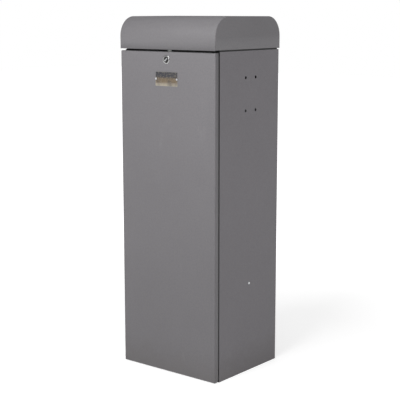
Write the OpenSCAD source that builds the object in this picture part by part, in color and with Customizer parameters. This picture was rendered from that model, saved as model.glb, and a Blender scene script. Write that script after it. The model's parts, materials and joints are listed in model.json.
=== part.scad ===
// Housing and drive of a parking barrier gate.
// Millimetres, +Z up, the door faces -Y, origin at the middle of the footprint on the ground.

/* [Cabinet] */
// Width of the cabinet
body_w = 340; // [320:1:400]
// Depth of the cabinet, door face to rear panel
body_d = 294; // [280:1:360]
// Height from the ground to the top of the side panels
shell_h = 917.5; // [905:0.5:1100]
// Thickness of the folded cabinet sheet
sheet = 2; // [1.5:0.5:3]
// Outside radius of the rear corner folds
fold_r = 4; // [3:0.5:6]
// Width of the front return flanges
return_w = 18; // [12:1:24]

/* [Hood] */
// Height of the hood
hood_h = 90; // [85:1:130]
// Radius of the hood's front and rear top edges
hood_r = 55; // [30:1:70]
// Thickness of the hood sheet
hood_sheet = 1.5; // [1:0.5:2]
// How far the hood stands proud of each face
hood_over = 1; // [0.5:0.5:2]
// Gap between the side panels and the hood
hood_gap = 2.5; // [2:0.5:5]

/* [Door] */
// Thickness of the door sheet
door_sheet = 1.5; // [1:0.5:2]
// Depth of the door's side flanges
door_flange = 16; // [14:1:20]
// Gap between the door's flanges and the side panels
door_gap = 4; // [3:0.5:6]
// Drop of the door's top edge below the top of the side panels
door_drop = 2.5; // [2:0.5:5]
// Gap under the door
door_foot_gap = 1.5; // [1:0.5:3]
// Height of the door's tipping pins above the ground
door_pin_z = 14; // [12:1:20]
// Radius of the tipping pins
door_pin_r = 2.5; // [2:0.5:3]
// Distance of the tipping pins from the middle of the door
door_pin_x = 120; // [80:1:140]

/* [Lock and nameplate] */
// Drop of the lock below the top edge of the door
lock_drop = 21.4; // [20:0.1:40]
// Radius of the lock's face
lock_r = 12; // [9:0.5:14]
// Reach of the lock's cam from its axis
cam_reach = 25.5; // [22:0.5:25.5]
// Width of the nameplate
plate_w = 80; // [60:1:100]
// Height of the nameplate
plate_h = 40; // [30:1:50]
// Drop of the nameplate's middle below the top edge of the door
plate_drop = 74.5; // [60:0.5:200]

/* [Side holes] */
// Radius of the four accessory holes in the right side
side_hole_r = 4.2; // [2:0.1:5]
// Spacing of the accessory holes front to back
side_hole_dy = 46; // [30:1:80]
// Spacing of the accessory holes up and down
side_hole_dz = 91; // [60:1:120]
// Middle of the accessory holes, front to back
side_hole_y = 12; // [-20:1:40]
// Middle of the accessory holes above the ground
side_hole_z = 798.5; // [700:0.5:820]
// Height of the earth screw above the ground
earth_z = 259.5; // [230:0.5:300]

/* [Base] */
// Thickness of the base plate
base_t = 6; // [5:1:10]
// Spacing of the anchor slots across the width
anchor_dx = 250; // [200:1:260]
// Spacing of the anchor slots front to back
anchor_dy = 190; // [150:1:200]
// Half width of an anchor slot
anchor_r = 6.5; // [5:0.5:8]
// Length of an anchor slot, end to end
anchor_len = 26; // [20:1:30]
// Width and depth of the cable opening
cable_w = 160; // [100:1:180]
cable_d = 110; // [80:1:130]

/* [Drive] */
// Height of the boom shaft above the ground
shaft_z = 820; // [800:1:840]
// Radius of the boom shaft
shaft_r = 15; // [12:0.5:18]
// Distance from the boom shaft down to the gearbox's output shaft
link_len = 200; // [190:1:210]
// Length of the crank and of both lever arms
arm_r = 70; // [60:1:75]
// Radius of the crank, lever and spring pins
pin_r = 6; // [5:0.5:7]
// Radius of the gearbox's output shaft
out_r = 12.5; // [10:0.5:14]
// Teeth of the worm wheel
wheel_teeth = 30; // [24:1:40]
// Distance between the worm's axis and the output shaft
worm_dist = 50; // [46:1:54]
// Radius of the motor's shell
motor_r = 42; // [35:1:46]
// Length of the motor's shell
motor_len = 140; // [100:1:150]
// Radius of the boom hub's flange
hub_r = 60; // [50:1:70]
// Radius of the boom hub's bolt circle
hub_bolt_circle_r = 45; // [38:1:48]
// Radius of the holes in the boom hub
hub_hole_r = 4.25; // [3:0.25:6]
// Outer radius of a balance spring
spring_r = 13; // [10:1:14]
// Radius of the spring wire
wire_r = 2; // [1.5:0.5:2.5]

/* [Clearances] */
// Radial clearance of a turning fit
run_fit = 0.05; // [0.02:0.01:0.1]
// Clearance of a loose seat
seat_gap = 0.3; // [0.2:0.1:0.5]

/* [Hidden] */
$fn = 64;
eps = 0.01;
x_out = body_w / 2;
x_in = x_out - sheet;
y_door = -body_d / 2;
y_rear = body_d / 2;
y_rear_in = y_rear - sheet;
y_shell = y_door + door_flange + door_gap;
y_front_in = y_shell + sheet;
door_top = shell_h - door_drop;
hood_z = shell_h + hood_gap;
door_pin_y = y_door + door_sheet + door_pin_r + 1;
door_edge_depth = door_flange - 4;

neck_z0 = shell_h - 50;
neck_z1 = shell_h + 32;
neck_flange = 30;
grommet_t = 4;
bracket_z = neck_z1 + grommet_t;
stud_x = x_in - 16;
stud_y = [y_front_in + 40, y_rear_in - 40];
stud_r = 4;
grommet_r = 9;
grommet_hole_r = 7;

lock_z = door_top - lock_drop;
cam_w = 12;
cam_t = 2;
cam_y = y_door + 14;
plate_t = 0.8;
rivet_x = plate_w / 2 - 2.5;
keeper_x = lock_r + 2;

link_y = y_front_in + 75;
arm_y = link_y + 6;
arm_t = 12;
rod_t = 10;
rod_y = arm_y - 3 - rod_t;
out_z = shaft_z - link_len;
arm_boss_r = 13;
rest_angle = -45;
pin_x = arm_r * cos(rest_angle);
pin_drop = -arm_r * sin(rest_angle);

bridge_t = 6;
bridge_z = shaft_z - 44;
bridge_y0 = arm_y + arm_t + 12;
plate_y1 = y_rear_in - 15;
bearing_y = [bridge_y0 + 20, plate_y1 - 25];
bearing_or = 31;
ball_gap_r = [shaft_r + 6.5, shaft_r + 7];
rail_leg = 30;
rail_t = 3;

shelf_t = 6;
box_h = 114;
box_half_h = box_h / 2;
shelf_z = out_z - box_half_h + 3;
box_x0 = -58;
box_x1 = worm_dist + 34;
box_y0 = bridge_y0 + 15;
box_y1 = box_y0 + 80;
box_wall = 6;
box_mid_y = (box_y0 + box_y1) / 2;

wheel_pitch_r = worm_dist - 12;
tooth_pitch = 2 * PI * wheel_pitch_r / wheel_teeth;
tooth_top = 2.5;
tooth_gap = 0.8;
tooth_fill = 0.3;
wheel_w = 16;
wheel_tip_r = wheel_pitch_r + tooth_top;
worm_root_r = worm_dist - wheel_tip_r - tooth_gap;
worm_tip_r = 12 + tooth_top;
wheel_root_r = worm_dist - worm_tip_r - tooth_gap;
worm_turns = 3;
rotor_r = 8;
motor_z1 = shelf_z + shelf_t - 12;
motor_z0 = motor_z1 - motor_len;
tail_z = motor_z0 - 52;

spring_y = [rod_y - 10, rod_y - 42];
eye_z = shelf_z + 34;
eye_major = 9;
eye_minor = 3;
hook_major = 8.3;
spring_top_z = shaft_z + pin_drop;
spring_low_z = eye_z + eye_major - eye_minor - wire_r - seat_gap + 8;

hub_y0 = y_rear + 3;
hub_boss = 16;
hub_t = 14;
shaft_y0 = arm_y - 4;
shaft_y1 = hub_y0 + hub_boss + hub_t;

key_w = 8;
key_h = 7;
lever_key_y = [arm_y + 1, arm_y + arm_t + 7];
hub_key_y = [hub_y0 + 2, hub_y0 + hub_boss + 6];
sensor_plate_y = bearing_y[0] + 34;
sensor_places = [[0, 38], [-38, 0]];
tray_z = [150, 380];

// ---------- helpers ----------

module block(x, y, z) {
    translate([x[0], y[0], z[0]]) cube([x[1] - x[0], y[1] - y[0], z[1] - z[0]]);
}

module bar_y(r, y, x = 0, z = 0) {
    translate([x, y[0], z]) rotate([-90, 0, 0]) cylinder(r = r, h = y[1] - y[0]);
}

module bar_x(r, x, y = 0, z = 0) {
    translate([x[0], y, z]) rotate([0, 90, 0]) cylinder(r = r, h = x[1] - x[0]);
}

module bar_z(r, z, x = 0, y = 0) {
    translate([x, y, z[0]]) cylinder(r = r, h = z[1] - z[0]);
}

module ring_y(r_in, r_out, y, x = 0, z = 0) {
    difference() {
        bar_y(r_out, y, x, z);
        bar_y(r_in, [y[0] - 1, y[1] + 1], x, z);
    }
}

module ring_z(r_in, r_out, z, x = 0, y = 0) {
    difference() {
        bar_z(r_out, z, x, y);
        bar_z(r_in, [z[0] - 1, z[1] + 1], x, y);
    }
}

module both_sides() {
    children();
    mirror([1, 0, 0]) children();
}

module hex_z(across, z, x = 0, y = 0) {
    translate([x, y, z[0]]) cylinder(r = across / sqrt(3), h = z[1] - z[0], $fn = 6);
}

// ---------- cabinet ----------

// Footprint of a box with rounded rear corners, open or closed at the front
module plan(x, y0, y1, r) {
    translate([-x, y0]) square([2 * x, y1 - y0 - r]);
    translate([-x + r, y1 - r - eps]) square([2 * (x - r), r + eps]);
    for (s = [-1, 1]) translate([s * (x - r), y1 - r]) circle(r = r);
}

module side_hole_places() {
    for (dy = [-1, 1], dz = [-1, 1])
        translate([0, side_hole_y + dy * side_hole_dy / 2, side_hole_z + dz * side_hole_dz / 2])
            children();
}

// Side and rear panels folded from one sheet, with return flanges beside the door
module cabinet_shell() {
    color("dimgray") difference() {
        linear_extrude(shell_h) difference() {
            plan(x_out, y_shell, y_rear, fold_r);
            plan(x_in, y_front_in, y_rear_in, fold_r - sheet);
            translate([-x_in + return_w, y_shell - 1]) square([2 * (x_in - return_w), 5 * sheet]);
        }
        side_hole_places() bar_x(side_hole_r, [x_in - 1, x_out + 1]);
        bar_x(2.6, [x_in - 1, x_out + 1], 9, earth_z);
        bar_y(shaft_r + 9, [y_rear_in - 1, y_rear + 1], 0, shaft_z);
    }
}

module anchor_slot() {
    half = anchor_len / 2 - anchor_r;
    for (s = [-1, 1]) translate([s * half, 0, -1]) cylinder(r = anchor_r, h = base_t + 2);
    block([-half, half], [-anchor_r, anchor_r], [-1, base_t + 1]);
}

// Lug that carries a tipping pin in front of the base plate
module hinge_lug() {
    foot_y = y_front_in;
    block([-2.5, 2.5], [foot_y - 7, foot_y + 1], [0, door_pin_z + 3]);
    block([-2.5, 2.5], [door_pin_y, foot_y - 6], [door_pin_z - door_pin_r, door_pin_z + 3]);
    bar_x(door_pin_r + 0.4, [-2.5, 2.5], door_pin_y, door_pin_z);
    bar_x(door_pin_r, [-12, 12], door_pin_y, door_pin_z);
}

// Base plate with anchor slots, cable opening, side webs and hinge lugs
module base_frame() {
    web_t = 4;
    corner = fold_r;
    color("darkgray") {
        difference() {
            union() {
                block([-x_in, x_in], [y_front_in, y_rear_in - corner], [0, base_t]);
                block([corner - x_in, x_in - corner], [y_front_in, y_rear_in], [0, base_t]);
                both_sides()
                    block([x_in - web_t, x_in], [y_front_in + 5, y_rear_in - 10], [0, 46]);
            }
            for (sx = [-1, 1], sy = [-1, 1])
                translate([sx * anchor_dx / 2, sy * anchor_dy / 2, 0]) anchor_slot();
            block([-cable_w / 2, cable_w / 2], [10 - cable_d / 2, 10 + cable_d / 2], [-1, base_t + 1]);
        }
        for (s = [-1, 1]) translate([s * door_pin_x, 0, 0]) hinge_lug();
    }
}

// Collar inside the top of the shell, with a flange that carries the hood
module neck_frame() {
    color("dimgray") difference() {
        block([-x_in, x_in], [y_front_in, y_rear_in], [neck_z0, neck_z1]);
        block([sheet - x_in, x_in - sheet], [y_front_in + sheet, y_rear_in - sheet],
              [neck_z0 - 1, neck_z1 - sheet]);
        block([neck_flange - x_in, x_in - neck_flange],
              [y_front_in + neck_flange, y_rear_in - neck_flange], [neck_z0 - 1, neck_z1 + 1]);
        for (sx = [-1, 1], y = stud_y) bar_z(grommet_hole_r, [neck_z1 - 5, neck_z1 + 1], sx * stud_x, y);
        both_sides() translate([x_in, y_rear_in, neck_z0 - 1]) rotate([0, 0, 45])
            cube([2 * fold_r, 2 * fold_r, 2 * (neck_z1 - neck_z0)], center = true);
        block([-x_in - 1, return_w + 1 - x_in], [y_front_in - 1, y_front_in + sheet + eps],
              [neck_z0 - 1, neck_z0]);
    }
}

// Angle on the neck that the lock's cam turns behind
module cam_keeper() {
    t = 1.6;
    y0 = cam_y - 1 - t;
    x1 = cam_reach + 3;
    color("silver") {
        block([keeper_x, x1 + t], [y0, y0 + t], [lock_z - 9, lock_z + 9]);
        block([x1, x1 + t], [y0, y_front_in], [lock_z - 9, lock_z + 9]);
        block([x1, x1 + 14], [y_front_in - t, y_front_in], [lock_z - 9, lock_z + 9]);
    }
}

module stud_places() {
    for (sx = [-1, 1], y = stud_y) translate([sx * stud_x, y, 0]) children();
}

// Rubber bushes in the neck's flange: seats and sockets for the hood's studs
module hood_grommets() {
    color("black") stud_places() difference() {
        union() {
            bar_z(grommet_r, [neck_z1, neck_z1 + grommet_t]);
            bar_z(grommet_hole_r, [neck_z1 - sheet, neck_z1]);
            bar_z(grommet_r, [neck_z1 - sheet - 3, neck_z1 - sheet]);
        }
        bar_z(stud_r + run_fit, [neck_z1 - 10, neck_z1 + grommet_t + 1]);
    }
}

// ---------- hood ----------

// Side view of the hood: front and rear top edges rounded
module hood_profile(inset) {
    r = hood_r - inset;
    half = body_d / 2 + hood_over - inset;
    top = hood_h - inset;
    intersection() {
        translate([-half, 0]) square([2 * half, top]);
        union() {
            translate([-half, 0]) square([2 * half, top - r]);
            translate([-half + r, 0]) square([2 * (half - r), top]);
            for (s = [-1, 1]) translate([s * (half - r), top - r]) circle(r = r, $fn = 128);
        }
    }
}

module hood_solid(inset, low) {
    half = x_out + hood_over - inset;
    translate([-half, 0, hood_z]) rotate([90, 0, 90]) linear_extrude(2 * half) hood_profile(inset);
    if (low > 0)
        block([-half, half], [inset - hood_over - body_d / 2, body_d / 2 + hood_over - inset],
              [hood_z - low, hood_z + eps]);
}

module hood() {
    color("gray") difference() {
        hood_solid(0, 0);
        hood_solid(hood_sheet, 1);
    }
}

// Angles welded inside the hood's end plates
module hood_brackets() {
    x_end = x_out + hood_over - hood_sheet;
    t = 2;
    color("gray") both_sides() difference() {
        union() {
            block([x_in - 28, x_end], [stud_y[0] - 16, stud_y[1] + 16], [bracket_z, bracket_z + t]);
            block([x_end - t, x_end], [stud_y[0] - 16, stud_y[1] + 16], [bracket_z, bracket_z + 22]);
        }
        for (y = stud_y) bar_z(stud_r, [bracket_z - 1, bracket_z + t + 1], stud_x, y);
    }
}

module hood_studs() {
    color("silver") stud_places() {
        bar_z(stud_r, [neck_z1 - 12, bracket_z + 2]);
        bar_z(stud_r + 2.5, [bracket_z + 2, bracket_z + 5]);
    }
}

// ---------- door ----------

// Folded tray that stands on the tipping pins
module door() {
    z0 = door_foot_gap;
    chamfer = 6;
    color("dimgray") difference() {
        block([-x_out, x_out], [y_door, y_door + door_flange], [z0, door_top]);
        block([door_sheet - x_out, x_out - door_sheet], [y_door + door_sheet, y_door + door_flange + 1],
              [z0 + door_sheet, door_top - door_sheet]);
        block([door_sheet - x_out, x_out - door_sheet],
              [y_door + door_edge_depth, y_door + door_flange + 1], [door_top - 5, door_top + 1]);
        block([door_sheet - x_out, x_out - door_sheet],
              [y_door + 6, y_door + door_flange + 1], [z0 - 1, z0 + 5]);
        translate([0, y_door + door_flange, z0]) rotate([45, 0, 0])
            cube([2 * x_out + 2, chamfer * sqrt(2), chamfer * sqrt(2)], center = true);
        bar_y(lock_r - 2, [y_door - 1, y_door + 3], 0, lock_z);
        for (s = [-1, 1])
            bar_y(1.6, [y_door - 1, y_door + 3], s * rivet_x, door_top - plate_drop);
    }
}

// Hat section spot-welded down the inside of the door
module door_stiffener() {
    y0 = y_door + door_sheet;
    t = 1.2;
    rise = 10;
    z = [60, lock_z - 40];
    color("dimgray") both_sides() {
        block([60, 100], [y0, y0 + t], [z[0], z[1]]);
        block([60, 60 + t], [y0, y0 + rise], [z[0], z[1]]);
        block([50, 60 + t], [y0 + rise - t, y0 + rise], [z[0], z[1]]);
    }
}

// Hooks on the door that drop over the tipping pins
module door_hooks() {
    color("silver") for (s = [-1, 1], side = [-1, 1])
        translate([s * door_pin_x + side * 6, 0, 0]) difference() {
            block([-2, 2], [y_door + door_sheet, y_door + door_sheet + 14],
                  [door_pin_z - 5, door_pin_z + 26]);
            bar_x(door_pin_r + run_fit, [-3, 3], door_pin_y, door_pin_z);
            block([-3, 3], [door_pin_y - door_pin_r - run_fit, door_pin_y + door_pin_r + run_fit],
                  [door_pin_z - 6, door_pin_z]);
        }
}

// Foam strips inside the door's side flanges that close the gap to the side panels
module door_seal() {
    x1 = x_out - door_sheet;
    color("black") both_sides()
        block([x1 - 6, x1], [y_door + door_sheet, y_shell - seat_gap], [40, door_top - 6]);
}

// ---------- lock and nameplate ----------

module lock_barrel() {
    color("silver") difference() {
        union() {
            bar_y(lock_r, [y_door - 2, y_door], 0, lock_z);
            bar_y(lock_r - 2, [y_door, cam_y - 0.5], 0, lock_z);
        }
        bar_y(lock_r - 4 + run_fit, [y_door - 3, cam_y], 0, lock_z);
    }
}

module lock_nut() {
    color("silver") difference() {
        translate([0, y_door + door_sheet, lock_z]) rotate([-90, 0, 0])
            cylinder(r = lock_r + 1.8, h = 4, $fn = 6);
        bar_y(lock_r - 2, [y_door, y_door + 10], 0, lock_z);
    }
}

module lock_plug() {
    color("gray") difference() {
        union() {
            bar_y(lock_r - 4, [y_door - 2.5, cam_y - 0.5], 0, lock_z);
            bar_y(3.5, [cam_y - 0.5 - eps, cam_y + cam_t + 3], 0, lock_z);
        }
        translate([0, y_door - 2.5, lock_z]) rotate([0, 45, 0]) cube([9, 3, 1.6], center = true);
    }
}

module lock_cam() {
    color("silver") difference() {
        union() {
            block([-cam_w / 2, cam_w / 2], [cam_y, cam_y + cam_t], [lock_z, lock_z + cam_reach]);
            bar_y(cam_w / 2, [cam_y, cam_y + cam_t], 0, lock_z);
        }
        bar_y(3.5, [cam_y - 1, cam_y + cam_t + 1], 0, lock_z);
    }
}

module nameplate() {
    z = door_top - plate_drop;
    color("lightgray") difference() {
        block([-plate_w / 2, plate_w / 2], [y_door - plate_t, y_door], [z - plate_h / 2, z + plate_h / 2]);
        for (s = [-1, 1]) bar_y(1.6, [y_door - 2, y_door + 1], s * rivet_x, z);
    }
}

module nameplate_rivets() {
    z = door_top - plate_drop;
    color("white") for (s = [-1, 1]) {
        bar_y(1.6, [y_door - plate_t - eps, y_door + door_sheet + 2], s * rivet_x, z);
        bar_y(2.8, [y_door - plate_t - 0.8, y_door - plate_t], s * rivet_x, z);
    }
}

// Earthing screw through the right side, nutted inside
module earth_screw() {
    color("white") {
        bar_x(3.2, [x_out, x_out + 1.6], 9, earth_z);
        bar_x(2.5, [x_in - 16, x_out + eps], 9, earth_z);
        bar_x(4.5, [x_in - 4, x_in], 9, earth_z);
    }
}

// ---------- shelf, bridge and bearings ----------

// One angle on the inside of a side panel, its top face at z
module side_angle(z) {
    y = [y_front_in + 30, plate_y1];
    block([x_in - rail_leg, x_in], y, [z - rail_t, z]);
    block([x_in - rail_t, x_in], y, [z - rail_leg, z]);
}

module plate_screw_places() {
    for (sx = [-1, 1], y = [bridge_y0 + 15, plate_y1 - 15]) translate([sx * (x_in - 16), y, 0]) children();
}

module rail_pair(z) {
    color("dimgray") difference() {
        both_sides() side_angle(z);
        plate_screw_places() bar_z(4.2, [z - rail_t - 1, z + 1]);
    }
}

module shelf_rails() rail_pair(shelf_z);

module bridge_rails() rail_pair(bridge_z);

// Lower shelf: carries the gearbox, with a hole that the motor hangs through
module drive_shelf() {
    color("darkgray") difference() {
        block([-x_in + 1, x_in - 1], [bridge_y0, plate_y1], [shelf_z, shelf_z + shelf_t]);
        bar_z(motor_r + 8, [shelf_z - 1, shelf_z + shelf_t + 1], worm_dist, box_mid_y);
        plate_screw_places() bar_z(4.2, [shelf_z - 1, shelf_z + shelf_t + 1]);
        block([-x_in - 1, -110], [bridge_y0 + 40, plate_y1 - 40], [shelf_z - 1, shelf_z + shelf_t + 1]);
    }
}

// Upper shelf: carries the shaft's bearings
module shaft_bridge() {
    color("darkgray") difference() {
        block([-x_in + 1, x_in - 1], [bridge_y0, plate_y1], [bridge_z, bridge_z + bridge_t]);
        plate_screw_places() bar_z(4.2, [bridge_z - 1, bridge_z + bridge_t + 1]);
        bearing_bolt_places() bar_z(5.5, [bridge_z - 1, bridge_z + bridge_t + 1]);
        for (s = [-1, 1])
            block([s * 110 - 22, s * 110 + 22], [bridge_y0 + 35, plate_y1 - 35],
                  [bridge_z - 1, bridge_z + bridge_t + 1]);
    }
}

// Bolts that hold both shelves to their rails
module shelf_bolts() {
    color("silver") for (z = [[shelf_z, shelf_t], [bridge_z, bridge_t]])
        plate_screw_places() {
            bar_z(4, [z[0] - rail_t - 8, z[0] + z[1] + eps]);
            hex_z(13, [z[0] + z[1], z[0] + z[1] + 5.3]);
            hex_z(13, [z[0] - rail_t - 6.5, z[0] - rail_t]);
        }
}

module bearing_bolt_places() {
    for (s = [-1, 1], y = bearing_y) translate([s * 48, y, 0]) children();
}

// Two cast pillow blocks
module bearing_housings() {
    z0 = bridge_z + bridge_t;
    color("slategray") for (y = bearing_y) difference() {
        union() {
            block([-64, 64], [y - 17, y + 17], [z0, z0 + 13]);
            block([-34, 34], [y - 14, y + 14], [z0 + 13 - eps, shaft_z]);
            bar_y(bearing_or + 7, [y - 14, y + 14], 0, shaft_z);
        }
        bar_y(bearing_or, [y - 20, y + 20], 0, shaft_z);
        for (s = [-1, 1]) bar_z(5.5, [z0 - 1, z0 + 14], s * 48, y);
    }
}

module bearing_outer_rings() {
    color("silver") for (y = bearing_y)
        ring_y(ball_gap_r[1], bearing_or, [y - 8, y + 8], 0, shaft_z);
}

module bearing_inner_rings() {
    color("silver") for (y = bearing_y)
        ring_y(shaft_r, ball_gap_r[0], [y - 12, y + 12], 0, shaft_z);
}

module bearing_bolts() {
    z0 = bridge_z + bridge_t;
    color("silver") bearing_bolt_places() {
        bar_z(5, [bridge_z - 10, z0 + 13 + eps]);
        hex_z(17, [z0 + 13, z0 + 19.5]);
        hex_z(17, [bridge_z - 8, bridge_z]);
    }
}

// ---------- boom shaft ----------

module key_seat(y, grow) {
    block([-key_w / 2 - grow, key_w / 2 + grow], y,
          [shaft_z + shaft_r - 4 - grow, shaft_z + shaft_r + key_h - 4 + grow]);
}

module main_shaft() {
    color("lightsteelblue") difference() {
        bar_y(shaft_r, [shaft_y0, shaft_y1], 0, shaft_z);
        key_seat(lever_key_y, 0);
        key_seat(hub_key_y, 0);
        bar_y(4.3, [shaft_y1 - 25, shaft_y1 + 1], 0, shaft_z);
    }
}

module shaft_keys() {
    color("gold") {
        key_seat(lever_key_y, 0);
        key_seat(hub_key_y, 0);
    }
}

module shaft_collars() {
    color("gray") for (y = [bearing_y[0] + 19, bearing_y[1] - 31]) difference() {
        ring_y(shaft_r, shaft_r + 9, [y, y + 12], 0, shaft_z);
        bar_x(2.5, [shaft_r - 1, shaft_r + 10], y + 6, shaft_z);
    }
}

// A flat arm with a boss at its tip, pointing along +X from inside its hub
module arm_plate(y, from) {
    bar_y(arm_boss_r, y, arm_r, 0);
    block([from, arm_r], [y[0] + 0.5, y[1] - 0.5], [-arm_boss_r + 1, arm_boss_r - 1]);
}

// Two-armed lever: the right arm takes the connecting rod, the left arm the springs
module shaft_lever() {
    y = [arm_y, arm_y + arm_t];
    color("steelblue") difference() {
        translate([0, 0, shaft_z]) {
            bar_y(shaft_r + 12, [arm_y, arm_y + arm_t + 8]);
            for (a = [rest_angle, rest_angle + 180]) rotate([0, -a, 0]) arm_plate(y, shaft_r + 4);
            translate([pin_x, 0, -pin_drop]) bar_y(pin_r, [rod_y - 3, arm_y + 1]);
            translate([-pin_x, 0, pin_drop]) bar_y(pin_r, [spring_y[1] - 8, arm_y + 1]);
        }
        bar_y(shaft_r, [arm_y - 1, arm_y + arm_t + 9], 0, shaft_z);
        key_seat([arm_y - 1, arm_y + arm_t + 9], 0);
    }
}

// Flanged hub outside the rear panel that the boom's holder bolts to
module boom_hub() {
    y1 = hub_y0 + hub_boss;
    color("darkgray") difference() {
        union() {
            bar_y(shaft_r + 17, [hub_y0, y1 + eps], 0, shaft_z);
            bar_y(hub_r, [y1, y1 + hub_t], 0, shaft_z);
        }
        bar_y(shaft_r, [hub_y0 - 1, y1 + hub_t + 1], 0, shaft_z);
        key_seat([hub_y0 - 1, hub_key_y[1]], 0);
        for (a = [45:90:315])
            translate([hub_bolt_circle_r * cos(a), y1 - 1, shaft_z + hub_bolt_circle_r * sin(a)])
                rotate([-90, 0, 0]) cylinder(r = hub_hole_r, h = hub_t + 2);
    }
}

module shaft_seal() {
    color("black") difference() {
        union() {
            bar_y(shaft_r + 9, [y_rear_in, y_rear + eps], 0, shaft_z);
            bar_y(shaft_r + 13, [y_rear, y_rear + 2], 0, shaft_z);
            bar_y(shaft_r + 13, [y_rear_in - 3, y_rear_in], 0, shaft_z);
        }
        bar_y(shaft_r + seat_gap, [y_rear_in - 4, y_rear + 4], 0, shaft_z);
    }
}

// ---------- linkage ----------

module connecting_rod() {
    y = [rod_y, rod_y + rod_t];
    bush_r = pin_r + 3;
    color("silver") difference() {
        union() {
            for (z = [out_z, shaft_z]) bar_y(bush_r + 5, y, pin_x, z - pin_drop);
            block([pin_x - 8, pin_x + 8], y, [out_z - pin_drop, shaft_z - pin_drop]);
        }
        for (z = [out_z, shaft_z]) bar_y(bush_r, [rod_y - 1, rod_y + rod_t + 1], pin_x, z - pin_drop);
    }
}

module rod_bushes() {
    color("goldenrod") for (z = [out_z, shaft_z])
        ring_y(pin_r + run_fit, pin_r + 3, [rod_y - 1, rod_y + rod_t + 1], pin_x, z - pin_drop);
}

module crank_arm() {
    color("steelblue") difference() {
        translate([0, 0, out_z]) {
            bar_y(out_r + 11, [arm_y, arm_y + arm_t + 6]);
            rotate([0, -rest_angle, 0]) arm_plate([arm_y, arm_y + arm_t], out_r + 4);
            translate([pin_x, 0, -pin_drop]) bar_y(pin_r, [rod_y - 3, arm_y + 1]);
        }
        bar_y(out_r, [arm_y - 1, arm_y + arm_t + 9], 0, out_z);
    }
}

// ---------- gearbox and motor ----------

module output_shaft() {
    color("lightsteelblue") bar_y(out_r, [arm_y - 3, box_y1 - box_wall], 0, out_z);
}

// Teeth follow the worm's lead; one tooth points at the worm
module worm_wheel() {
    half = 180 / wheel_teeth;
    lean = atan(tooth_pitch / (2 * PI * 12));
    turn = wheel_w * tan(lean) / wheel_pitch_r * 180 / PI;
    color("goldenrod") translate([0, box_mid_y, out_z]) rotate([90, 0, 0]) difference() {
        union() {
            linear_extrude(wheel_w, center = true, twist = -turn, slices = 4)
                polygon([for (i = [0:wheel_teeth - 1], p = [[-0.5, 0], [-0.2, 1], [0.2, 1], [0.5, 0]])
                    let (a = 2 * half * i + p[0] * half, r = p[1] ? wheel_tip_r : wheel_root_r)
                        [r * cos(a), r * sin(a)]]);
            cylinder(r = out_r + 9, h = wheel_w + 12, center = true);
        }
        cylinder(r = out_r, h = wheel_w + 20, center = true);
    }
}

// How far the thread stands out at a fraction of one turn away from its crest
function thread_r(f) = let (d = abs(f - round(f)) * 2)
    d < tooth_fill * 0.5 ? worm_tip_r
    : d > tooth_fill * 1.6 ? worm_root_r
    : worm_tip_r - (worm_tip_r - worm_root_r) * (d - tooth_fill * 0.5) / (tooth_fill * 1.1);

// Motor shaft with the worm thread at its top
module worm_shaft() {
    steps = 24;
    length = worm_turns * tooth_pitch;
    color("silver") translate([worm_dist, box_mid_y, 0]) {
        translate([0, 0, out_z - length / 2]) rotate([0, 0, 180 * (worm_turns + 1)])
            linear_extrude(length, twist = -360 * worm_turns, slices = 12 * worm_turns)
                polygon([for (i = [0:steps - 1]) let (f = i / steps, r = thread_r(f + 0.5))
                    [r * cos(360 * f), r * sin(360 * f)]]);
        bar_z(rotor_r, [tail_z, out_z + box_half_h - box_wall]);
    }
}

module gearbox_housing() {
    z0 = shelf_z + shelf_t;
    z1 = z0 + box_h;
    color("lightgray") difference() {
        block([box_x0, box_x1], [box_y0, box_y1 - box_wall], [z0, z1]);
        block([box_x0 + box_wall, box_x1 - box_wall], [box_y0 + box_wall, box_y1],
              [z0 + box_wall, z1 - box_wall]);
        bar_y(out_r + run_fit, [box_y0 - 1, box_y0 + box_wall + 1], 0, out_z);
        bar_z(rotor_r + run_fit, [z0 - 1, z0 + box_wall + 1], worm_dist, box_mid_y);
    }
}

module gearbox_cover() {
    z0 = shelf_z + shelf_t;
    color("lightgray") difference() {
        block([box_x0, box_x1], [box_y1 - box_wall, box_y1], [z0, z0 + box_h]);
        for (x = [box_x0 + 3, box_x1 - 3], z = [z0 + 3, z0 + box_h - 3])
            bar_y(1.5, [box_y1 - box_wall - 1, box_y1 + 1], x, z);
        bar_y(out_r + run_fit, [box_y1 - box_wall - 1, box_y1 + 1], 0, out_z);
    }
}

module gearbox_screws() {
    z0 = shelf_z + shelf_t;
    color("silver") for (x = [box_x0 + 3, box_x1 - 3], z = [z0 + 3, z0 + box_h - 3]) {
        bar_y(1.5, [box_y1 - box_wall, box_y1 + eps], x, z);
        bar_y(2.8, [box_y1, box_y1 + 2.5], x, z);
    }
}

// Finned shell with a flange up against the gearbox
module motor_shell() {
    color("gray") translate([worm_dist, box_mid_y, 0]) difference() {
        union() {
            bar_z(motor_r - 3, [motor_z0, motor_z1 + 1]);
            bar_z(motor_r + 5, [motor_z1, shelf_z + shelf_t]);
            for (a = [0:30:330]) rotate([0, 0, a])
                block([motor_r - 6, motor_r], [-1.5, 1.5], [motor_z0 + 4, motor_z1 + 1]);
        }
        bar_z(motor_r - 9, [motor_z0 + 6, motor_z1 - 4]);
        bar_z(rotor_r + run_fit, [motor_z0 - 1, shelf_z + shelf_t + 1]);
    }
}

module motor_cap() {
    color("gray") ring_z(rotor_r + run_fit, motor_r, [motor_z0 - 14, motor_z0], worm_dist, box_mid_y);
}

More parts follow.
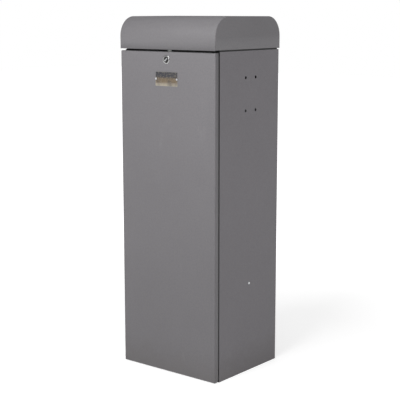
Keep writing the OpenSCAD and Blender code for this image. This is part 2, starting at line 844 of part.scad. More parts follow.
// Handwheel on the motor's tail, for raising the boom without power
module handwheel() {
    z = [tail_z, tail_z + 14];
    rim_r = 38;
    color("red") translate([worm_dist, box_mid_y, 0]) difference() {
        union() {
            ring_z(rim_r - 9, rim_r, z);
            bar_z(rotor_r + 7, [z[0], z[1] + 8]);
            for (a = [0:120:240]) rotate([0, 0, a])
                block([rotor_r + 4, rim_r - 6], [-5, 5], [z[0] + 3, z[1] - 3]);
        }
        bar_z(rotor_r, [z[0] - 1, z[1] + 9]);
    }
}

// ---------- springs and stops ----------

// Balance springs: plain tubes of the coil's size with a ring at each end
module balance_springs() {
    z_low = spring_low_z + 7;
    z_high = spring_top_z - hook_major - 1;
    color("silver") for (y = spring_y) {
        difference() {
            union() {
                bar_z(spring_r, [z_low, z_high], -pin_x, y);
                translate([-pin_x, y, spring_low_z]) rotate([0, 90, 0])
                    rotate_extrude() translate([8, 0]) circle(r = wire_r);
                translate([-pin_x, y, spring_top_z]) rotate([90, 0, 0])
                    rotate_extrude() translate([hook_major, 0]) circle(r = wire_r);
            }
            bar_z(spring_r - 2 * wire_r, [z_low + 4, z_high - 4], -pin_x, y);
        }
    }
}

// Arm on the lower shelf that holds the springs' adjusting bolts
module spring_bracket() {
    color("darkgray") difference() {
        union() {
            block([-pin_x - 24, -pin_x + 24], [spring_y[1] - 16, bridge_y0], [shelf_z, shelf_z + shelf_t]);
            for (s = [-1, 1])
                block([-pin_x + s * 21 - 3, -pin_x + s * 21 + 3], [spring_y[1] - 16, bridge_y0],
                      [shelf_z - 24, shelf_z + eps]);
        }
        for (y = spring_y) bar_z(5.3, [shelf_z - 1, shelf_z + shelf_t + 1], -pin_x, y);
    }
}

module spring_eyebolts() {
    color("silver") for (y = spring_y) {
        translate([-pin_x, y, eye_z]) rotate([90, 0, 0])
            rotate_extrude() translate([eye_major, 0]) circle(r = eye_minor);
        bar_z(5, [shelf_z - 30, eye_z - eye_major], -pin_x, y);
    }
}

module eyebolt_nuts() {
    color("silver") for (y = spring_y, z = [shelf_z - 8, shelf_z + shelf_t]) difference() {
        hex_z(16, [z, z + 8], -pin_x, y);
        bar_z(5, [z - 1, z + 9], -pin_x, y);
    }
}

// Plate on the bridge's front edge, with a block behind each rubber stop
module buffer_plate() {
    t = 5;
    y1 = bridge_y0;
    color("darkgray") difference() {
        union() {
            block([-44, 48], [y1 - t, y1], [bridge_z - 16, shaft_z + 64]);
            for (s = [-1, 1]) translate([0, 0, shaft_z]) rotate([0, s * 45, 0])
                block([36, 58], [arm_y + 1, y1 - t + 1], [-s * 36 - 5, -s * 36 + 5]);
        }
        bar_y(shaft_r + 14, [y1 - t - 1, y1 + 1], 0, shaft_z);
    }
}

module stop_buffers() {
    near = arm_boss_r - 1 + seat_gap;
    far = 31;
    color("black") for (s = [-1, 1]) translate([0, arm_y + arm_t / 2, shaft_z]) rotate([0, s * 45, 0])
        translate([47, 0, s > 0 ? -far : near]) cylinder(r = 5, h = far - near);
}

// Target on the boom shaft that the two sensors read
module shaft_vane() {
    y = sensor_plate_y + 22;
    color("gold") difference() {
        union() {
            ring_y(shaft_r, shaft_r + 7, [y - 3, y + 5], 0, shaft_z);
            intersection() {
                ring_y(shaft_r + 5, 46, [y, y + 2], 0, shaft_z);
                translate([0, y - 1, shaft_z]) rotate([0, -45, 0]) block([0, 60], [0, 4], [0, 60]);
            }
        }
        bar_z(1.6, [shaft_z, shaft_z + 30], 0, y - 1.5);
    }
}

module sensor_bracket() {
    y = [sensor_plate_y, sensor_plate_y + 3];
    color("darkgray") difference() {
        block([-52, 14], y, [bridge_z + bridge_t, shaft_z + 52]);
        bar_y(shaft_r + 3, [y[0] - 1, y[1] + 1], 0, shaft_z);
        for (p = sensor_places) bar_y(6, [y[0] - 1, y[1] + 1], p[0], shaft_z + p[1]);
    }
}

module limit_sensors() {
    y = sensor_plate_y;
    color("orange") for (p = sensor_places) {
        bar_y(6, [y - 12, y + 20], p[0], shaft_z + p[1]);
        bar_y(8.5, [y - 4, y], p[0], shaft_z + p[1]);
        bar_y(8.5, [y + 3, y + 7], p[0], shaft_z + p[1]);
    }
}

// ---------- controls ----------

module control_tray() {
    color("lightgray") difference() {
        block([-95, 125], [y_rear_in - 22, y_rear_in], tray_z);
        block([-93, 123], [y_rear_in - 23, y_rear_in - 2], [tray_z[0] + 2, tray_z[1] - 2]);
    }
}

module control_board() {
    color("darkgreen") {
        block([-85, 60], [y_rear_in - 11.6, y_rear_in - 10], [tray_z[0] + 70, tray_z[1] - 12]);
        for (x = [-79, 54], z = [tray_z[0] + 76, tray_z[1] - 18])
            bar_y(3, [y_rear_in - 10 - eps, y_rear_in - 2], x, z);
    }
}

// Relays, a transformer, capacitors and plug-in terminals on the board
module board_parts() {
    y = y_rear_in - 11.6;
    z0 = tray_z[0] + 74;
    color("royalblue") {
        for (i = [0:3]) block([-78 + 22 * i, -62 + 22 * i], [y - 16, y], [z0 + 86, z0 + 108]);
        block([14, 54], [y - 30, y], [z0 + 64, z0 + 100]);
        for (x = [-70, -50]) bar_y(8, [y - 26, y], x, z0 + 50);
        for (i = [0:5]) block([-80 + 22 * i, -60 + 22 * i], [y - 12, y], [z0 + 4, z0 + 14]);
    }
}

module terminal_strip() {
    y = y_rear_in - 2;
    color("beige") {
        block([-85, 115], [y - 7, y], [tray_z[0] + 20, tray_z[0] + 55]);
        for (i = [0:9]) block([-80 + 19 * i, -62.5 + 19 * i], [y - 44, y - 7 + eps],
                              [tray_z[0] + 16, tray_z[0] + 59]);
    }
}

cabinet_shell();
base_frame();
neck_frame();
cam_keeper();
hood_grommets();
hood();
hood_brackets();
hood_studs();
door();
door_stiffener();
door_hooks();
door_seal();
lock_barrel();
lock_nut();
lock_plug();
lock_cam();
nameplate();
nameplate_rivets();
earth_screw();
shelf_rails();
drive_shelf();
bridge_rails();
shaft_bridge();
shelf_bolts();
bearing_housings();
bearing_outer_rings();
bearing_inner_rings();
bearing_bolts();
main_shaft();
shaft_keys();
shaft_collars();
shaft_lever();
boom_hub();
shaft_seal();
connecting_rod();
rod_bushes();
crank_arm();
output_shaft();
worm_wheel();
worm_shaft();
gearbox_housing();
gearbox_cover();
gearbox_screws();
motor_shell();
motor_cap();
handwheel();
balance_springs();
spring_bracket();
spring_eyebolts();
eyebolt_nuts();
buffer_plate();
stop_buffers();
shaft_vane();
sensor_bracket();
limit_sensors();
control_tray();
control_board();
board_parts();
terminal_strip();
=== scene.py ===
"""Parking barrier housing: finishes, folded sheet work, lock, nameplate and drive details."""

import json
import math

import bmesh
import bpy
from mathutils import Euler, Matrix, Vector


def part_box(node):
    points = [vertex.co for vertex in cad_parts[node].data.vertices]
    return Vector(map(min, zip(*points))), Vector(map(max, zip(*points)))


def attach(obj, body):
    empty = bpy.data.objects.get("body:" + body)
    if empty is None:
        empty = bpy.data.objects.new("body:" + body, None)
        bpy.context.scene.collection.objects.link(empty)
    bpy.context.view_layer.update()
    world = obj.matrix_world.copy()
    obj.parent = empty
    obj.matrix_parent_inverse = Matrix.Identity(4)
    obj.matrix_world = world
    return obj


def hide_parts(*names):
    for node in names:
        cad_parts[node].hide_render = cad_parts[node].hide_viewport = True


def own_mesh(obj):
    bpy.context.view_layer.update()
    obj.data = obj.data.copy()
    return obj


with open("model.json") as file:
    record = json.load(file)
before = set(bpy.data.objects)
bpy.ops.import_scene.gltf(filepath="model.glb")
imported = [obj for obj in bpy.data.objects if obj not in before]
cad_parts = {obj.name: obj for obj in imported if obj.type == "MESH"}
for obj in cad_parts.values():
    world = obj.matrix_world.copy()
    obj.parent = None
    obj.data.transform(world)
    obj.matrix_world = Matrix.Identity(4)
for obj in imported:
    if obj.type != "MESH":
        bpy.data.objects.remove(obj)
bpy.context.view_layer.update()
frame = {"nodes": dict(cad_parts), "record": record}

MM = 0.001
record = frame["record"]


# ---------- shader maths ----------


class Value:
    """A shader socket that adds Math nodes for the operators used on it."""

    def __init__(self, shader, socket):
        self.shader = shader
        self.socket = socket

    def maths(self, operation, *values):
        return self.shader.node("ShaderNodeMath", {"operation": operation}, list(values))

    def __add__(self, other):
        return self.maths("ADD", self, other)

    def __radd__(self, other):
        return self.maths("ADD", other, self)

    def __sub__(self, other):
        return self.maths("SUBTRACT", self, other)

    def __mul__(self, other):
        return self.maths("MULTIPLY", self, other)

    def __truediv__(self, other):
        return self.maths("DIVIDE", self, other)

    def __pow__(self, other):
        return self.maths("POWER", self, other)

    def size(self):
        return self.maths("ABSOLUTE", self)

    def clamp(self):
        return self.maths("MINIMUM", self.maths("MAXIMUM", self, 0.0), 1.0)

    def over(self, limit, softness):
        """0 below the limit, 1 above it, with a soft step."""
        return ((self - limit) / softness + 0.5).clamp()


class Shader:
    """One material's node tree."""

    def __init__(self, name):
        self.material = bpy.data.materials.new(name)
        self.material.use_nodes = True
        self.tree = self.material.node_tree
        self.surface = self.tree.nodes["Principled BSDF"]

    def put(self, socket, value):
        if isinstance(value, Value):
            self.tree.links.new(value.socket, socket)
        else:
            socket.default_value = value

    def node(self, kind, settings=None, values=None, out=0):
        made = self.tree.nodes.new(kind)
        for key, setting in (settings or {}).items():
            setattr(made, key, setting)
        pairs = values.items() if isinstance(values, dict) else enumerate(values or [])
        for key, value in pairs:
            self.put(made.inputs[key], value)
        return Value(self, made.outputs[out])

    def place(self):
        return self.node("ShaderNodeTexCoord", out="Object")

    def stretched(self, scale):
        return self.node("ShaderNodeMapping", None, {"Vector": self.place(), "Scale": scale})

    def noise(self, scale, detail=2.0, roughness=0.5, vector=None):
        values = {"Vector": vector or self.place(), "Scale": scale}
        values.update({"Detail": detail, "Roughness": roughness})
        return self.node("ShaderNodeTexNoise", None, values)

    def cells(self, scale, vector=None):
        values = {"Vector": vector or self.place(), "Scale": scale}
        return self.node("ShaderNodeTexVoronoi", None, values, out="Distance")

    def mix(self, factor, first, second):
        """Mixes two colours."""
        made = self.tree.nodes.new("ShaderNodeMix")
        made.data_type = "RGBA"
        self.put(made.inputs[0], factor)
        self.put(made.inputs[6], first)
        self.put(made.inputs[7], second)
        return Value(self, made.outputs[2])

    def height(self):
        return self.node("ShaderNodeSeparateXYZ", None, [self.place()], out="Z")

    def depth(self):
        return self.node("ShaderNodeSeparateXYZ", None, [self.place()], out="Y")

    def across(self):
        """Distance from the middle plane, to either side."""
        return self.node("ShaderNodeSeparateXYZ", None, [self.place()], out="X").size()

    def bump(self, height, depth, strength=1.0):
        made = self.node(
            "ShaderNodeBump", None, {"Height": height, "Distance": depth, "Strength": strength}
        )
        self.put(self.surface.inputs["Normal"], made)

    def finish(self, **sockets):
        """Sets the surface's sockets, whose names are written with underscores."""
        for name, value in sockets.items():
            self.put(self.surface.inputs[name.replace("_", " ").title().replace("Ior", "IOR")], value)
        return self.material


PAINT_BLUE_SHARE = 1.4
SHADE_EDGE_BLUR = 0.3 * MM
LABEL_EDGE_BLUR = 0.4 * MM


def grey(level, tint=0.0):
    """A grey that tint makes slightly purple."""
    return (level * (1 + tint), level, level * (1 + tint * PAINT_BLUE_SHARE), 1)


def powder_coat(name, level, tint=0.0, painted_shade_limit=None):
    """Textured powder coat with handling marks and dust near the ground; the optional (half x, rear y)
    limit marks
    the interior: every face within it, the front flange and hole walls included, is painted near-black
    as painted shade."""
    s = Shader(name)
    mottle = s.noise(5.0, 4.0, 0.6)
    fleck = s.noise(210.0, 4.0, 0.7)
    grain = s.noise(1100.0, 3.0, 0.65)
    peel = s.noise(260.0, 2.0)
    tone = (mottle * 0.5 + fleck * 1.1 + grain * 0.5 - 0.55).clamp()
    colour = s.mix(tone, grey(level * 0.8, tint), grey(level * 1.2, tint))
    scuff = s.noise(17.0, 6.0, 0.75, s.stretched((1.0, 1.0, 0.35))).over(0.66, 0.1)
    colour = s.mix(scuff * 0.09, colour, grey(level * 1.9, tint))
    splash = (s.noise(38.0, 5.0, 0.7) - s.height() * 7.0).over(0.12, 0.5)
    colour = s.mix(splash * 0.22, colour, (0.1, 0.092, 0.082, 1))
    if painted_shade_limit:
        half_x, rear_y = painted_shade_limit
        # painted shade: near-black on every face but the outer sides and rear, so the inside reads as
        # shadow through the gaps
        side_face = (s.across() - half_x).over(0.0, SHADE_EDGE_BLUR)
        rear_face = (s.depth() - rear_y).over(0.0, SHADE_EDGE_BLUR)
        colour = s.mix((side_face + rear_face).clamp(), grey(0.008), colour)
    s.bump(grain * 0.6 + peel * 0.8, 0.00022, 0.35)
    worn = 0.5 + mottle * 0.1 + splash * 0.12 - scuff * 0.06
    return s.finish(base_color=colour, roughness=worn, specular_ior_level=0.4)


def zinc_plate(name, colour, rough=0.3):
    s = Shader(name)
    spangle = s.cells(260.0)
    smear = s.noise(24.0, 4.0)
    dark = tuple(c * 0.7 for c in colour) + (1,)
    tone = s.mix((spangle * 0.5 + smear * 0.6).clamp(), dark, tuple(colour) + (1,))
    s.bump(s.noise(600.0), 0.0001, 0.3)
    return s.finish(base_color=tone, roughness=rough + smear * 0.16, metallic=1.0)


def turned_steel(name, colour, rough=0.22):
    """Ground or turned metal with fine lines around its axis."""
    s = Shader(name)
    lines = s.noise(90.0, 3.0, 0.7, s.stretched((0.3, 30.0, 0.3)))
    oil = s.noise(14.0, 3.0)
    tone = s.mix(oil, tuple(c * 0.72 for c in colour) + (1,), tuple(colour) + (1,))
    s.bump(lines, 0.00008, 0.4)
    return s.finish(base_color=tone, roughness=rough + lines * 0.18, metallic=1.0)


def cast_metal(name, colour, metallic=0.6):
    s = Shader(name)
    grains = s.noise(420.0, 4.0, 0.7)
    stain = s.noise(11.0, 4.0)
    tone = s.mix(stain, tuple(c * 0.7 for c in colour) + (1,), tuple(colour) + (1,))
    s.bump(grains, 0.0006, 0.5)
    return s.finish(base_color=tone, roughness=0.5 + grains * 0.2, metallic=metallic)


def primed_plate(name, level):
    s = Shader(name)
    scale = s.noise(60.0, 5.0, 0.65)
    tone = s.mix(scale, grey(level * 0.7), grey(level * 1.35))
    s.bump(scale, 0.0003, 0.4)
    return s.finish(base_color=tone, roughness=0.5 + scale * 0.15)


def moulded(name, colour, rough=0.42):
    s = Shader(name)
    spark = s.noise(900.0, 2.0)
    patch = s.noise(20.0, 3.0)
    tone = s.mix(patch, tuple(c * 0.82 for c in colour) + (1,), tuple(colour) + (1,))
    s.bump(spark, 0.0001, 0.35)
    return s.finish(base_color=tone, roughness=rough + patch * 0.12)


def rubbery(name):
    s = Shader(name)
    bloom = s.noise(30.0, 4.0)
    # Near-black: partly the rubber's own black, partly painted shade, so the seals read as shadow in
    # the seams.
    tone = s.mix(bloom, grey(0.006), grey(0.016))
    s.bump(s.noise(700.0), 0.0001, 0.4)
    return s.finish(base_color=tone, roughness=0.68 + bloom * 0.15)


def polished(name, level, rough):
    s = Shader(name)
    haze = s.noise(180.0, 3.0)
    tone = s.mix(haze, grey(level * 0.85), grey(level))
    return s.finish(base_color=tone, roughness=rough + haze * 0.08, metallic=1.0)


def label_metal(name, middle_z, half_x, half_z):
    """Worn blank plate: dark etched top, brown middle, pale lower band and a lighter edge all round."""
    s = Shader(name)
    up = (s.height() - (middle_z - half_z)) / (2 * half_z)
    side_edge = (s.across() - half_x).over(0.0, LABEL_EDGE_BLUR)
    level_edge = ((s.height() - middle_z).size() - half_z).over(0.0, LABEL_EDGE_BLUR)
    streak = s.noise(30.0, 4.0, 0.7, s.stretched((1.0, 1.0, 12.0)))
    wave = up + (streak - 0.5) * 0.35
    fleck = s.noise(230.0, 3.0, 0.7)
    low = s.mix(wave.over(0.2, 0.16), (0.27, 0.24, 0.19, 1), (0.12, 0.088, 0.054, 1))
    colour = s.mix(wave.over(0.58, 0.2), low, (0.026, 0.027, 0.034, 1))
    stain = s.noise(42.0, 3.0, 0.6).over(0.54, 0.16)
    colour = s.mix(stain * 0.55, colour, (0.045, 0.043, 0.045, 1))
    colour = s.mix(fleck.over(0.56, 0.1) * 0.55, colour, (0.2, 0.175, 0.14, 1))
    colour = s.mix((side_edge + level_edge).clamp() * 0.6, colour, (0.24, 0.235, 0.23, 1))
    s.bump(streak, 0.00012, 0.3)
    return s.finish(base_color=colour, roughness=0.3 + streak * 0.2, metallic=0.3)


def circuit_green(name):
    s = Shader(name)
    tracks = s.cells(240.0)
    tone = s.mix(tracks.over(0.5, 0.1), (0.01, 0.12, 0.045, 1), (0.03, 0.23, 0.09, 1))
    s.bump(tracks, 0.0001, 0.4)
    return s.finish(base_color=tone, roughness=0.3 + tracks * 0.2)


shell_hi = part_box("cabinet_shell")[1]
# Inner faces and hole walls more than this thin skin inside the outer faces get the near-black painted
# shade.
SHELL_SKIN = 0.3 * MM
interior_shade_limit = (shell_hi.x - SHELL_SKIN, shell_hi.y - SHELL_SKIN)
finishes = {
    # The cabinet's coat is set a little lighter than the door's and hood's: painted light, so the lit
    # side panels read as bright as the lamps make them.
    "cabinet_paint": powder_coat("cabinet_powder_coat", 0.114, 0.055, interior_shade_limit),
    "door_paint": powder_coat("door_powder_coat", 0.11, 0.042),
    "hood_paint": powder_coat("hood_powder_coat", 0.112, 0.038),
    # The primer is darker than real black primer: partly its own black, partly painted shade, so the
    # neck reads as shadow through the gaps.
    "dark_steel": primed_plate("black_primer_and_gap_shade", 0.012),
    "zinc": zinc_plate("bright_zinc", (0.72, 0.73, 0.75)),
    "dull_zinc": zinc_plate("worn_zinc", (0.6, 0.62, 0.6), 0.5),
    "rubber": rubbery("black_rubber_and_seam_shade"),
    "lock_chrome": polished("lock_chrome", 0.52, 0.18),
    "lock_face": polished("lock_dark_face", 0.06, 0.28),
    "cast_grey": cast_metal("oiled_casting", (0.17, 0.18, 0.2)),
    "ground_steel": turned_steel("ground_shaft", (0.6, 0.61, 0.63)),
    "bronze": turned_steel("bearing_bronze", (0.62, 0.42, 0.17), 0.28),
    "cast_alloy": cast_metal("die_cast_alloy", (0.55, 0.56, 0.57), 0.85),
    "black_plastic": moulded("black_moulding", (0.03, 0.03, 0.033)),
    "red_plastic": moulded("red_moulding", (0.5, 0.03, 0.02)),
    "cream_plastic": moulded("cream_moulding", (0.62, 0.58, 0.47)),
    "spring_steel": turned_steel("oiled_spring_wire", (0.32, 0.33, 0.35), 0.3),
    "sensor_brass": turned_steel("sensor_barrel", (0.68, 0.6, 0.42)),
    "board_green": circuit_green("circuit_green"),
}
PLATE_BORDER = 1.1 * MM
plate_lo, plate_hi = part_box("nameplate")
plate_mid = (plate_lo + plate_hi) / 2
plate_half = (plate_hi - plate_lo) / 2
finishes["plate_metal"] = label_metal(
    "nameplate_metal", plate_mid.z, plate_half.x - PLATE_BORDER, plate_half.z - PLATE_BORDER
)

slot_of = {row["node"]: row["material_slot"] for row in record["subparts"]}
for name, node in frame["nodes"].items():
    node.data.materials.clear()
    node.data.materials.append(finishes[slot_of[name]])


# ---------- mesh helpers ----------


def make_piece(name, verts, faces, slot, body, stands_for=(), sharp=35.0):
    """A mesh piece with smooth shading broken at sharp edges, riding on a body."""
    mesh = bpy.data.meshes.new(name)
    mesh.from_pydata([tuple(v) for v in verts], [], faces)
    mesh.validate()
    tidy = bmesh.new()
    tidy.from_mesh(mesh)
    bmesh.ops.recalc_face_normals(tidy, faces=tidy.faces)
    tidy.to_mesh(mesh)
    tidy.free()
    mesh.shade_smooth()
    mesh.set_sharp_from_angle(angle=math.radians(sharp))
    piece = bpy.data.objects.new(name, mesh)
    bpy.context.scene.collection.objects.link(piece)
    mesh.materials.append(finishes[slot])
    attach(piece, body)
    if stands_for:
        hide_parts(*stands_for)
    return piece


def thicken(piece, thickness):
    """Gives an open sheet its thickness, inwards from its outer face."""
    solid = piece.modifiers.new("sheet", "SOLIDIFY")
    solid.thickness = thickness
    solid.offset = -1
    solid.use_even_offset = True
    return piece


def rounded_outline(half_x, z0, z1, radius, steps=5):
    """Points around an upright rounded rectangle, anticlockwise from its lower right."""
    radius = max(radius, 0.02 * MM)
    corners = [(half_x, z0, -90), (half_x, z1, 0), (-half_x, z1, 90), (-half_x, z0, 180)]
    points = []
    for x, z, start in corners:
        cx = x - math.copysign(radius, x)
        cz = z + radius if z == z0 else z - radius
        for i in range(steps + 1):
            a = math.radians(start + 90 * i / steps)
            points.append((cx + radius * math.cos(a), cz + radius * math.sin(a)))
    return points


def loft(rings, closed=True, cap_first=False, cap_last=False):
    """Vertices and faces of a skin over rings with equal numbers of points."""
    count = len(rings[0])
    verts = [p for ring in rings for p in ring]
    faces = []
    for k in range(len(rings) - 1):
        for i in range(count if closed else count - 1):
            j = (i + 1) % count
            a, b = k * count, (k + 1) * count
            faces.append((a + i, a + j, b + j, b + i))
    if cap_first:
        faces.append(tuple(range(count))[::-1])
    if cap_last:
        faces.append(tuple(range((len(rings) - 1) * count, len(rings) * count)))
    return verts, faces


def turned(profile, centre, axis_turn, steps=48, capped=True):
    """Vertices and faces of a turned piece: profile is (radius, distance along) pairs."""
    turn = Euler(axis_turn).to_matrix()
    rings = []
    for radius, along in profile:
        ring = []
        for i in range(steps):
            a = 2 * math.pi * i / steps
            point = Vector((radius * math.cos(a), radius * math.sin(a), along))
            ring.append(Vector(centre) + turn @ point)
        rings.append(ring)
    return loft(rings, True, capped, capped)


# ---------- hood ----------

hood_lo, hood_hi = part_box("hood")
HOOD_RADIUS = 55 * MM
HOOD_SHEET = 1.5 * MM
END_ROUND = 1.4 * MM
HOOD_HEM = 0.6 * MM
END_LIFT = 0.8


def hood_ring(x, inset):
    """The hood's side view at one x: up the front, over the top, down the rear."""
    radius = HOOD_RADIUS - inset
    front, rear = hood_lo.y + inset, hood_hi.y - inset
    top, steps = hood_hi.z - inset, 24
    base = hood_lo.z + HOOD_HEM + END_LIFT * inset
    ring = [(x, front, base)]
    for y, start in ((front + radius, 180), (rear - radius, 90)):
        for i in range(steps + 1):
            a = math.radians(start - 90 * i / steps)
            ring.append((x, y + radius * math.cos(a), top - radius + radius * math.sin(a)))
    ring.append((x, rear, base))
    return ring


def make_hood():
    rings = []
    for i in range(6):
        a = math.pi / 2 * i / 5
        inset = END_ROUND * (1 - math.sin(a))
        rings.append(hood_ring(hood_lo.x + END_ROUND * (1 - math.cos(a)), inset))
    mirrored = [[(-x, y, z) for x, y, z in ring] for ring in reversed(rings)]
    verts, faces = loft(rings + mirrored, closed=False, cap_first=True, cap_last=True)
    return thicken(make_piece("hood_cover", verts, faces, "hood_paint", "hood", ["hood"]), HOOD_SHEET)


make_hood()


# ---------- door ----------

door_lo, door_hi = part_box("door")
DOOR_SHEET = 1.5 * MM
DOOR_FOLD = 3.0 * MM
TOP_FLANGE_SHORTER = 4 * MM
FOOT_FLANGE_SHORTER = 10 * MM
FOOT_CORNER = 6.6 * MM
SEAM_FOOT, SEAM_HEAD = 0.2 * MM, 1.7 * MM
SIDE_FLANGE_EDGE = 1.9 * MM
DOOR_CORNER = 2.2 * MM


def door_outline(half, inset, corner):
    """The door's rounded outline with one extra point on each side, above the cut foot corner."""
    points = rounded_outline(half - inset, door_lo.z + inset, door_hi.z - inset, corner - inset)
    quarter = len(points) // 4
    mark = door_lo.z + FOOT_CORNER
    right, left = [(half - inset, mark)], [(inset - half, mark)]
    return points[:quarter] + right + points[quarter:3 * quarter] + left + points[3 * quarter:]


def make_door():
    corner = DOOR_CORNER
    half = door_hi.x
    rings = []
    for i in range(7):
        a = math.pi / 2 * i / 6
        inset = DOOR_FOLD * (1 - math.sin(a))
        y = door_lo.y + DOOR_FOLD * (1 - math.cos(a))
        rings.append([(x, y, z) for x, z in door_outline(half, inset, corner)])
    back = []
    for x, z in door_outline(half, 0.0, corner):
        up = (z - door_lo.z) / (door_hi.z - door_lo.z)
        seam = SEAM_FOOT + (SEAM_HEAD - SEAM_FOOT) * up
        y = door_hi.y - seam - max(0.0, FOOT_CORNER - (z - door_lo.z))
        if abs(x) < half - SIDE_FLANGE_EDGE:
            y = door_hi.y - (TOP_FLANGE_SHORTER if z > plate_mid.z else FOOT_FLANGE_SHORTER)
        back.append((x, y, z))
    rings.append(back)
    verts, faces = loft(rings, cap_first=True)
    return thicken(make_piece("door_panel", verts, faces, "door_paint", "door", ["door"]), DOOR_SHEET)


make_door()


# ---------- lock, nameplate and small fasteners ----------

AIM_FRONT = (math.pi / 2, 0, 0)
AIM_SIDE = (0, math.pi / 2, 0)
barrel_lo, barrel_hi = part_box("lock_barrel")
lock_centre = (barrel_lo + barrel_hi) / 2
lock_face = Vector((lock_centre.x, barrel_lo.y, lock_centre.z))
lock_radius = (barrel_hi.x - barrel_lo.x) / 2


def make_lock():
    r = lock_radius
    rim = [(r * 0.7, -15.4 * MM), (r * 0.83, -15.4 * MM), (r * 0.83, -2 * MM), (r, -2 * MM)]
    rim += [(r - 1.0 * MM * (1 - math.cos(a)), -1.0 * MM + 1.0 * MM * math.sin(a))
            for a in (0.0, 0.4, 0.8, 1.2, math.pi / 2)]
    rim += [(r * 0.72, -0.1 * MM), (r * 0.69, -0.6 * MM), (r * 0.68, -3 * MM)]
    count = 64
    verts, faces = turned(rim, lock_face, AIM_FRONT, count, capped=False)
    last = (len(rim) - 1) * count
    faces += [(last + i, last + (i + 1) % count, (i + 1) % count, i) for i in range(count)]
    make_piece("lock_ring", verts, faces, "lock_chrome", "door", ["lock_barrel"], 30)


make_lock()


def make_plug_face():
    """Key plug with a raised bright bar across it and the key slot in the bar."""
    plug_lo, plug_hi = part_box("lock_plug")
    r = (plug_hi.x - plug_lo.x) / 2 - 0.15 * MM
    depth = plug_hi.y - plug_lo.y
    profile = [(3.3 * MM, -depth), (3.3 * MM, -depth + 5 * MM), (r, -depth + 5 * MM),
               (r, -0.9 * MM), (r - 0.7 * MM, -0.35 * MM), (r * 0.6, -0.25 * MM), (0.3 * MM, -0.2 * MM)]
    verts, faces = turned(profile, (lock_centre.x, plug_lo.y, lock_centre.z), AIM_FRONT, 48)
    make_piece("lock_plug_body", verts, faces, "lock_face", "lock", ["lock_plug"], 30)
    tilt = Euler((0, math.radians(-42), 0)).to_matrix()
    outline = rounded_outline(5.6 * MM, -1.9 * MM, 1.9 * MM, 1.2 * MM)
    slot_line = rounded_outline(4.2 * MM, -0.55 * MM, 0.55 * MM, 0.5 * MM)
    rings = []
    for points, y in ((outline, 0.1), (outline, -0.25), (slot_line, -0.25), (slot_line, 0.1)):
        place = Vector((lock_centre.x, plug_lo.y + 0.25 * MM + y * MM, lock_centre.z))
        rings.append([place + tilt @ Vector((x, 0, z)) for x, z in points])
    verts, faces = loft(rings)
    make_piece("lock_key_bar", verts, faces, "zinc", "lock", (), 30)


make_plug_face()


def make_nameplate():
    """Thin plate with a raised bright border and a sunk field."""
    border, rise = PLATE_BORDER, 0.2 * MM
    bevel, sheet, corner = 0.25 * MM, 0.8 * MM, 2.0 * MM
    steps = ((0.0, sheet), (0.0, bevel), (bevel, 0.0), (border, 0.0), (border + 0.3 * MM, rise))
    rings = []
    for inset, depth in steps:
        low, high = plate_mid.z - plate_half.z + inset, plate_mid.z + plate_half.z - inset
        points = rounded_outline(plate_half.x - inset, low, high, corner - inset)
        rings.append([(x + plate_mid.x, plate_lo.y + depth, z) for x, z in points])
    verts, faces = loft(rings[:4], cap_first=True)
    make_piece("nameplate_rim", verts, faces, "plate_metal", "door", ["nameplate"], 30)
    verts, faces = loft(rings[3:], cap_last=True)
    make_piece("nameplate_field", verts, faces, "plate_metal", "door", (), 30)


make_nameplate()


def dome(name, centre, aim, radius, rise, slot, body, stands_for=()):
    """A domed head: rise is its height above its seat."""
    profile = [(radius, 0.0), (radius, rise * 0.25)]
    profile += [(radius * math.cos(a), rise * (0.25 + 0.75 * math.sin(a)))
                for a in (0.35, 0.7, 1.05, 1.35)]
    profile.append((radius * 0.05, rise))
    verts, faces = turned(profile, centre, aim, 32)
    return make_piece(name, verts, faces, slot, body, stands_for, 40)


rivet_lo, rivet_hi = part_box("nameplate_rivets")
RIVET_FLANGE, RIVET_HEAD, RIVET_RISE = 2.8 * MM, 2.1 * MM, 0.8 * MM
for side, x in (("left", rivet_lo.x + RIVET_FLANGE), ("right", rivet_hi.x - RIVET_FLANGE)):
    place = (x, plate_lo.y, plate_mid.z)
    dome(f"rivet_head_{side}", place, AIM_FRONT, RIVET_HEAD, RIVET_RISE, "zinc", "door")


# ---------- balance springs ----------

spring_lo, spring_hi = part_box("balance_springs")


SPRING_WIRE = 2 * MM
SPRING_COIL = 11 * MM
SPRING_LEAD = 7 * MM
SPRING_PLACE = 13 * MM
LOW_RING, TOP_RING = 8 * MM, 8.3 * MM
LEVER_ARM = 70 * MM


def wire_ring(name, centre, facing, major, body):
    """A closed eye of spring wire; facing turns it from lying flat."""
    turn = Euler(facing).to_matrix()
    around, tube = 40, 12
    verts, faces = [], []
    for i in range(around):
        a = 2 * math.pi * i / around
        for j in range(tube):
            b = 2 * math.pi * j / tube
            r = major + SPRING_WIRE * math.cos(b)
            point = Vector((r * math.cos(a), r * math.sin(a), SPRING_WIRE * math.sin(b)))
            verts.append(Vector(centre) + turn @ point)
            k, m = (i + 1) % around, (j + 1) % tube
            faces.append((i * tube + j, k * tube + j, k * tube + m, i * tube + m))
    make_piece(name, verts, faces, "spring_steel", body)


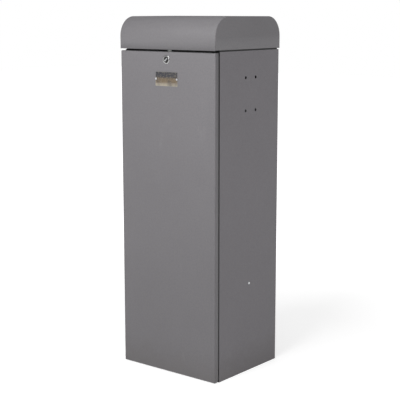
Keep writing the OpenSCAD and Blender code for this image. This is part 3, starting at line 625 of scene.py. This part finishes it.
def make_spring(side, centre_y):
    """A wound tension spring between two eyes, the top eye on the lever's pin."""
    centre_x = (spring_lo.x + spring_hi.x) / 2
    low_eye, top_eye = spring_lo.z + LOW_RING + SPRING_WIRE, spring_hi.z - TOP_RING - SPRING_WIRE
    foot, head = low_eye + LOW_RING, top_eye - TOP_RING
    turns, per_turn, lead = 34, 14, 12
    low, high = foot + SPRING_LEAD, head - SPRING_LEAD
    path = []

    def bend(angle, radius, z):
        path.append((centre_x + radius * math.cos(angle), centre_y + radius * math.sin(angle), z))

    for i in range(lead):
        bend(2 * math.pi * i / lead, SPRING_COIL * i / lead, foot + (low - foot) * i / lead)
    for i in range(turns * per_turn + 1):
        bend(2 * math.pi * i / per_turn, SPRING_COIL, low + (high - low) * i / (turns * per_turn))
    for i in range(1, lead + 1):
        bend(2 * math.pi * i / lead, SPRING_COIL * (1 - i / lead), high + (head - high) * i / lead)
    curve = bpy.data.curves.new("coil", "CURVE")
    curve.dimensions = "3D"
    curve.bevel_depth = SPRING_WIRE
    curve.bevel_resolution = 2
    line = curve.splines.new("POLY")
    line.points.add(len(path) - 1)
    for point, place in zip(line.points, path):
        point.co = (*place, 1)
    holder = bpy.data.objects.new("coil_line", curve)
    bpy.context.scene.collection.objects.link(holder)
    bpy.context.view_layer.update()
    mesh = bpy.data.meshes.new_from_object(holder)
    bpy.data.objects.remove(holder)
    mesh.shade_smooth()
    mesh.materials.clear()
    mesh.materials.append(finishes["spring_steel"])
    piece = bpy.data.objects.new(f"balance_spring_{side}", mesh)
    bpy.context.scene.collection.objects.link(piece)
    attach(piece, "cabinet")
    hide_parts("balance_springs")
    travel = 2 * LEVER_ARM * math.sin(math.radians(45))
    eye_x_y = (centre_x, centre_y)
    (head - foot - travel) / (head - foot)
    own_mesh(piece)
    wire_ring(f"spring_low_eye_{side}", (*eye_x_y, low_eye), AIM_SIDE, LOW_RING, "cabinet")
    wire_ring(f"spring_top_eye_{side}", (*eye_x_y, top_eye), AIM_FRONT, TOP_RING, "boom_shaft")


make_spring("front", spring_lo.y + SPRING_PLACE)
make_spring("rear", spring_hi.y - SPRING_PLACE)


# ---------- floor, light and camera ----------


def make_floor():
    mesh = bpy.data.meshes.new("floor")
    reach = 12
    mesh.from_pydata([(-reach, -reach, 0), (reach, -reach, 0), (reach, reach, 0), (-reach, reach, 0)],
                     [], [(0, 1, 2, 3)])
    floor = bpy.data.objects.new("floor", mesh)
    bpy.context.scene.collection.objects.link(floor)
    s = Shader("pale_floor")
    # The floor glows and lights the object from below; within about 1.6 m of the object the glow is
    # dimmer: painted shade round its foot.
    painted_shade_fade = (s.across() ** 2.0 + s.depth() ** 2.0).over(1.6, 2.4)
    glow = s.mix(painted_shade_fade, grey(0.56), grey(1.0))
    light = {"emission_color": glow, "emission_strength": 1.0}
    mesh.materials.append(s.finish(base_color=grey(0.6), roughness=0.95, **light))


def make_light(name, place, aim, size, power):
    light = bpy.data.lights.new(name, "AREA")
    light.shape = "RECTANGLE"
    light.size, light.size_y = size
    light.energy = power
    lamp = bpy.data.objects.new(name, light)
    lamp.location = place
    lamp.rotation_euler = (Vector(aim) - Vector(place)).to_track_quat("-Z", "Y").to_euler()
    bpy.context.scene.collection.objects.link(lamp)


def make_camera():
    """Long lens, a little above the hood, looking at the door and the right side."""
    yaw, pitch, roll = math.radians(39.01), math.radians(10.16), math.radians(0.05)
    data = bpy.data.cameras.new("camera")
    data.sensor_width = 36
    data.lens = 95.8
    camera = bpy.data.objects.new("camera", data)
    camera.location = (1.9194, -2.3702, 1.0291)
    camera.rotation_euler = Euler((math.pi / 2 - pitch, roll, yaw))
    bpy.context.scene.collection.objects.link(camera)
    bpy.context.scene.camera = camera


make_floor()
make_light("front_soft", (0.05, -1.5, 1.6), (0, 0, 0.85), (1.2, 1.2), 34)
make_light("right_soft", (2.4, 0.1, 2.6), (0, 0, 0.8), (1.6, 1.6), 27)
make_light("top_soft", (0.0, 0.1, 3.2), (0, 0, 0.9), (2.4, 2.4), 19)
make_camera()


def make_world():
    """White backdrop that lights the room less than it shows."""
    world = bpy.data.worlds.new("studio")
    world.use_nodes = True
    tree = world.node_tree
    backdrop = tree.nodes["Background"]
    backdrop.inputs["Color"].default_value = (1, 1, 1, 1)
    path = tree.nodes.new("ShaderNodeLightPath")
    ease = tree.nodes.new("ShaderNodeMapRange")
    ease.inputs["To Min"].default_value = 0.28
    ease.inputs["To Max"].default_value = 1.0
    tree.links.new(path.outputs["Is Camera Ray"], ease.inputs["Value"])
    tree.links.new(ease.outputs["Result"], backdrop.inputs["Strength"])
    bpy.context.scene.world = world


make_world()
bpy.context.scene.view_settings.view_transform = "Standard"
